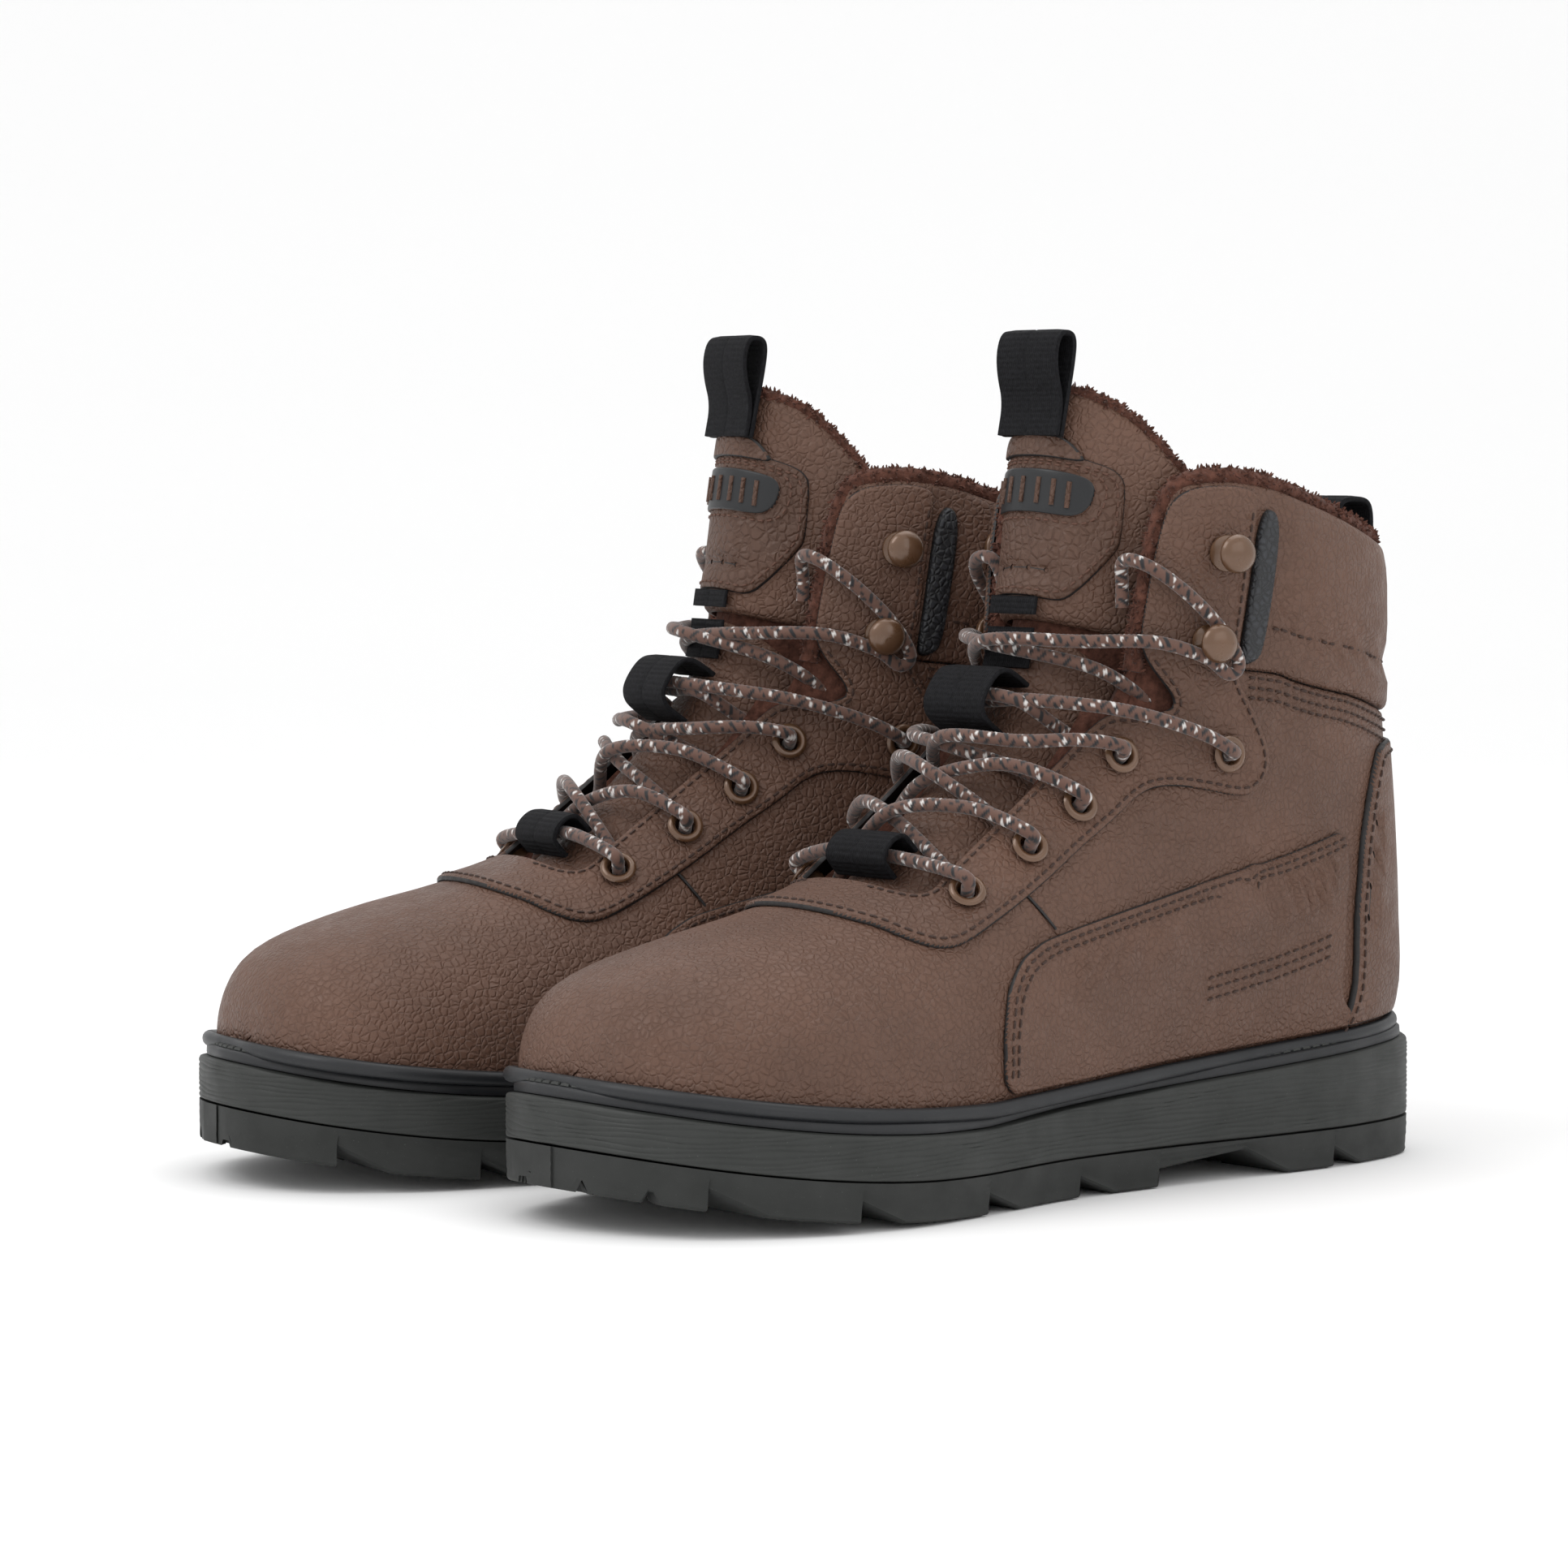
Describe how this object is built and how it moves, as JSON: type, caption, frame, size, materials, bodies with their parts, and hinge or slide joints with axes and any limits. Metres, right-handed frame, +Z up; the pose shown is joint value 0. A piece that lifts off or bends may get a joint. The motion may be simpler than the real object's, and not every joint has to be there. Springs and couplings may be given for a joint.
{
  "type": "insulated hunting boots",
  "caption": "Ankle-high lace-up insulated hunting boots with a lugged rubber sole, padded collar, fleece lining, speed hooks, round laces and webbing pull loops.",
  "frame": {"origin": "middle of the pair's footprint, on the ground", "axes": "+Z up, toes toward -Y, left boot at +X"},
  "size_m": [0.2364, 0.3326, 0.2397],
  "materials": {
    "leather": "pebbled brown synthetic leather, satin",
    "fleece": "brown fleece pile",
    "sole_rubber": "grey-green moulded rubber with fine ridges",
    "tread_rubber": "matt dark rubber",
    "welt_rubber": "smooth black rubber",
    "webbing": "black ribbed polyester webbing",
    "lace_cord": "round braided lace, brown with black and white flecks",
    "eyelet_metal": "bronze-brown lacquered metal",
    "badge": "black moulded badge with plain ribs",
    "insole_board": "fibre board",
    "shank_steel": "brushed"
  },
  "bodies": {
    "left_boot": {"left_outsole": "tread_rubber", "left_midsole": "sole_rubber", "left_shank": "shank_steel", "left_welt": "welt_rubber", "left_rand": "welt_rubber", "left_insole_board": "insole_board", "left_vamp": "leather", "left_quarters": "leather", "left_collar": "leather", "left_eyestay": "leather", "left_overlay_lateral": "leather", "left_overlay_medial": "leather", "left_heel_counter": "leather", "left_lining": "fleece", "left_tongue_lower": "leather", "left_keeper_low": "webbing", "left_keeper_mid": "webbing", "left_pull_loop_heel": "webbing", "left_lace": "lace_cord", "left_eyelet_row_lateral": "eyelet_metal", "left_eyelet_row_medial": "eyelet_metal", "left_hook_lower_lateral": "eyelet_metal", "left_hook_lower_medial": "eyelet_metal", "left_hook_upper_lateral": "eyelet_metal", "left_hook_upper_medial": "eyelet_metal"},
    "left_tongue_body": {"left_tongue_upper": "leather", "left_tongue_patch": "leather", "left_tongue_badge": "badge"},
    "left_front_loop_body": {"left_pull_loop_front": "webbing"},
    "left_footbed_body": {"left_footbed": "fleece"},
    "right_boot": {"right_outsole": "tread_rubber", "right_midsole": "sole_rubber", "right_shank": "shank_steel", "right_welt": "welt_rubber", "right_rand": "welt_rubber", "right_insole_board": "insole_board", "right_vamp": "leather", "right_quarters": "leather", "right_collar": "leather", "right_eyestay": "leather", "right_overlay_lateral": "leather", "right_overlay_medial": "leather", "right_heel_counter": "leather", "right_lining": "fleece", "right_tongue_lower": "leather", "right_keeper_low": "webbing", "right_keeper_mid": "webbing", "right_pull_loop_heel": "webbing", "right_lace": "lace_cord", "right_eyelet_row_lateral": "eyelet_metal", "right_eyelet_row_medial": "eyelet_metal", "right_hook_lower_lateral": "eyelet_metal", "right_hook_lower_medial": "eyelet_metal", "right_hook_upper_lateral": "eyelet_metal", "right_hook_upper_medial": "eyelet_metal"},
    "right_tongue_body": {"right_tongue_upper": "leather", "right_tongue_patch": "leather", "right_tongue_badge": "badge"},
    "right_front_loop_body": {"right_pull_loop_front": "webbing"},
    "right_footbed_body": {"right_footbed": "fleece"}
  },
  "joints": [
    {"name": "boots_apart", "type": "slide", "parent": "left_boot", "child": "right_boot", "axis": [-1, 0, 0], "range_m": [0, 0.3]},
    {"name": "left_tongue_fold", "type": "hinge", "parent": "left_boot", "child": "left_tongue_body", "pos_m": [0.05416, 0.02524, 0.157], "axis": [0.9962, 0.0872, 0], "range_deg": [-14, 2], "stiffness_Nm_per_rad": 0.6},
    {"name": "left_front_loop_swing", "type": "hinge", "parent": "left_tongue_body", "child": "left_front_loop_body", "pos_m": [0.05343, 0.03361, 0.208], "axis": [0.9962, 0.0872, 0], "range_deg": [0, 30], "stiffness_Nm_per_rad": 0.05},
    {"name": "left_footbed_lift", "type": "hinge", "parent": "left_boot", "child": "left_footbed_body", "pos_m": [0.06659, -0.11682, 0.028], "axis": [0.9962, 0.0872, 0], "range_deg": [0, 4]},
    {"name": "right_tongue_fold", "type": "hinge", "parent": "right_boot", "child": "right_tongue_body", "pos_m": [-0.05416, -0.00576, 0.157], "axis": [0.9962, -0.0872, 0], "range_deg": [-14, 2], "stiffness_Nm_per_rad": 0.6},
    {"name": "right_front_loop_swing", "type": "hinge", "parent": "right_tongue_body", "child": "right_front_loop_body", "pos_m": [-0.05343, 0.00261, 0.208], "axis": [0.9962, -0.0872, 0], "range_deg": [0, 30], "stiffness_Nm_per_rad": 0.05},
    {"name": "right_footbed_lift", "type": "hinge", "parent": "right_boot", "child": "right_footbed_body", "pos_m": [-0.06659, -0.14782, 0.028], "axis": [0.9962, -0.0872, 0], "range_deg": [0, 4]}
  ]
}
